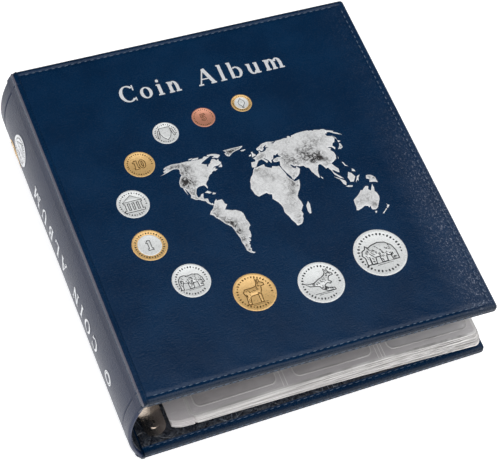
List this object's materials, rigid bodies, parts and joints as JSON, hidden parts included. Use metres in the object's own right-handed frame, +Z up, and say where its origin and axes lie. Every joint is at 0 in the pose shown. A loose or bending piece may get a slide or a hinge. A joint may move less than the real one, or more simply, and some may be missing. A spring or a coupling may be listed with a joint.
{
  "type": "coin album",
  "caption": "Padded leatherette ring binder for coins, with two hinged covers, a curved spine, a ring mechanism that opens and clear pocket sheets that turn.",
  "frame": {"origin": "middle of the closed album's footprint, at the bottom face it lies on", "axes": "+X from the spine to the fore-edge, +Y from the tail to the head, +Z up through the front cover"},
  "size_m": [0.2182, 0.23, 0.0662],
  "materials": {
    "leatherette": "satin",
    "spine_leatherette": "satin",
    "liner": "gloss",
    "foam": "matte",
    "board": "matte",
    "thread": "satin",
    "silver_foil": "polished",
    "gold_foil": "polished",
    "copper_foil": "polished",
    "nickel": "polished",
    "clear_film": "gloss"
  },
  "bodies": {
    "back_cover": {"back_skin": "leatherette", "back_foam": "foam", "back_board": "board", "back_liner": "liner", "back_stitching": "thread", "ring_plate": "nickel", "plate_rivets": "nickel"},
    "spine": {"spine_skin": "spine_leatherette", "spine_board": "board", "spine_liner": "liner", "spine_foil": "silver_foil", "back_hinge_bead": "leatherette", "front_hinge_bead": "leatherette"},
    "front_cover": {"front_skin": "leatherette", "front_foam": "foam", "front_board": "board", "front_liner": "liner", "front_stitching": "thread", "map_foil": "silver_foil", "title_foil": "silver_foil", "silver_coins": "silver_foil", "gold_coins": "gold_foil", "copper_coin": "copper_foil"},
    "right_rings": {"right_blade": "nickel", "right_half_rings": "nickel"},
    "left_rings": {"left_blade": "nickel", "left_half_rings": "nickel"},
    "page_1": {"sheet_1": "clear_film"},
    "page_2": {"sheet_2": "clear_film"},
    "page_3": {"sheet_3": "clear_film"},
    "page_4": {"sheet_4": "clear_film"},
    "page_5": {"sheet_5": "clear_film"},
    "page_6": {"sheet_6": "clear_film"},
    "page_7": {"sheet_7": "clear_film"},
    "page_8": {"sheet_8": "clear_film"}
  },
  "joints": [
    {"name": "back_hinge", "type": "hinge", "parent": "back_cover", "child": "spine", "pos_m": [-0.10088, 0, 0.0026], "axis": [0, -1, 0], "range_deg": [0, 80]},
    {"name": "front_hinge", "type": "hinge", "parent": "spine", "child": "front_cover", "pos_m": [-0.10043, 0, 0.0636], "axis": [0, -1, 0], "range_deg": [0, 106]},
    {"name": "right_rings_open", "type": "hinge", "parent": "back_cover", "child": "right_rings", "pos_m": [-0.08188, 0, 0.0076], "axis": [0, 1, 0], "range_deg": [0, 6.5]},
    {"name": "left_rings_open", "type": "hinge", "parent": "back_cover", "child": "left_rings", "pos_m": [-0.09388, 0, 0.0076], "axis": [0, 1, 0], "range_deg": [-6.5, 0]},
    {"name": "page_1_turn", "type": "hinge", "parent": "back_cover", "child": "page_1", "pos_m": [-0.08787, 0, 0.022], "axis": [0, -1, 0], "range_deg": [0, 2.62]},
    {"name": "page_2_turn", "type": "hinge", "parent": "back_cover", "child": "page_2", "pos_m": [-0.08787, 0, 0.022], "axis": [0, -1, 0], "range_deg": [0, 5.8]},
    {"name": "page_3_turn", "type": "hinge", "parent": "back_cover", "child": "page_3", "pos_m": [-0.08787, 0, 0.022], "axis": [0, -1, 0], "range_deg": [0, 8.98]},
    {"name": "page_4_turn", "type": "hinge", "parent": "back_cover", "child": "page_4", "pos_m": [-0.08787, 0, 0.022], "axis": [0, -1, 0], "range_deg": [0, 12.16]},
    {"name": "page_5_turn", "type": "hinge", "parent": "back_cover", "child": "page_5", "pos_m": [-0.08787, 0, 0.022], "axis": [0, -1, 0], "range_deg": [0, 53.5]},
    {"name": "page_6_turn", "type": "hinge", "parent": "back_cover", "child": "page_6", "pos_m": [-0.08787, 0, 0.022], "axis": [0, -1, 0], "range_deg": [0, 66.22]},
    {"name": "page_7_turn", "type": "hinge", "parent": "back_cover", "child": "page_7", "pos_m": [-0.08787, 0, 0.022], "axis": [0, -1, 0], "range_deg": [0, 78.94]},
    {"name": "page_8_turn", "type": "hinge", "parent": "back_cover", "child": "page_8", "pos_m": [-0.08787, 0, 0.022], "axis": [0, -1, 0], "range_deg": [0, 91.66]}
  ],
  "couplings": [
    {"joint": "left_rings_open", "follows": "right_rings_open", "ratio": -1},
    {"joint": "page_1_turn", "follows": "front_hinge", "ratio": 0.02},
    {"joint": "page_2_turn", "follows": "front_hinge", "ratio": 0.05},
    {"joint": "page_3_turn", "follows": "front_hinge", "ratio": 0.08},
    {"joint": "page_4_turn", "follows": "front_hinge", "ratio": 0.11},
    {"joint": "page_5_turn", "follows": "front_hinge", "ratio": 0.5},
    {"joint": "page_6_turn", "follows": "front_hinge", "ratio": 0.62},
    {"joint": "page_7_turn", "follows": "front_hinge", "ratio": 0.74},
    {"joint": "page_8_turn", "follows": "front_hinge", "ratio": 0.86}
  ]
}
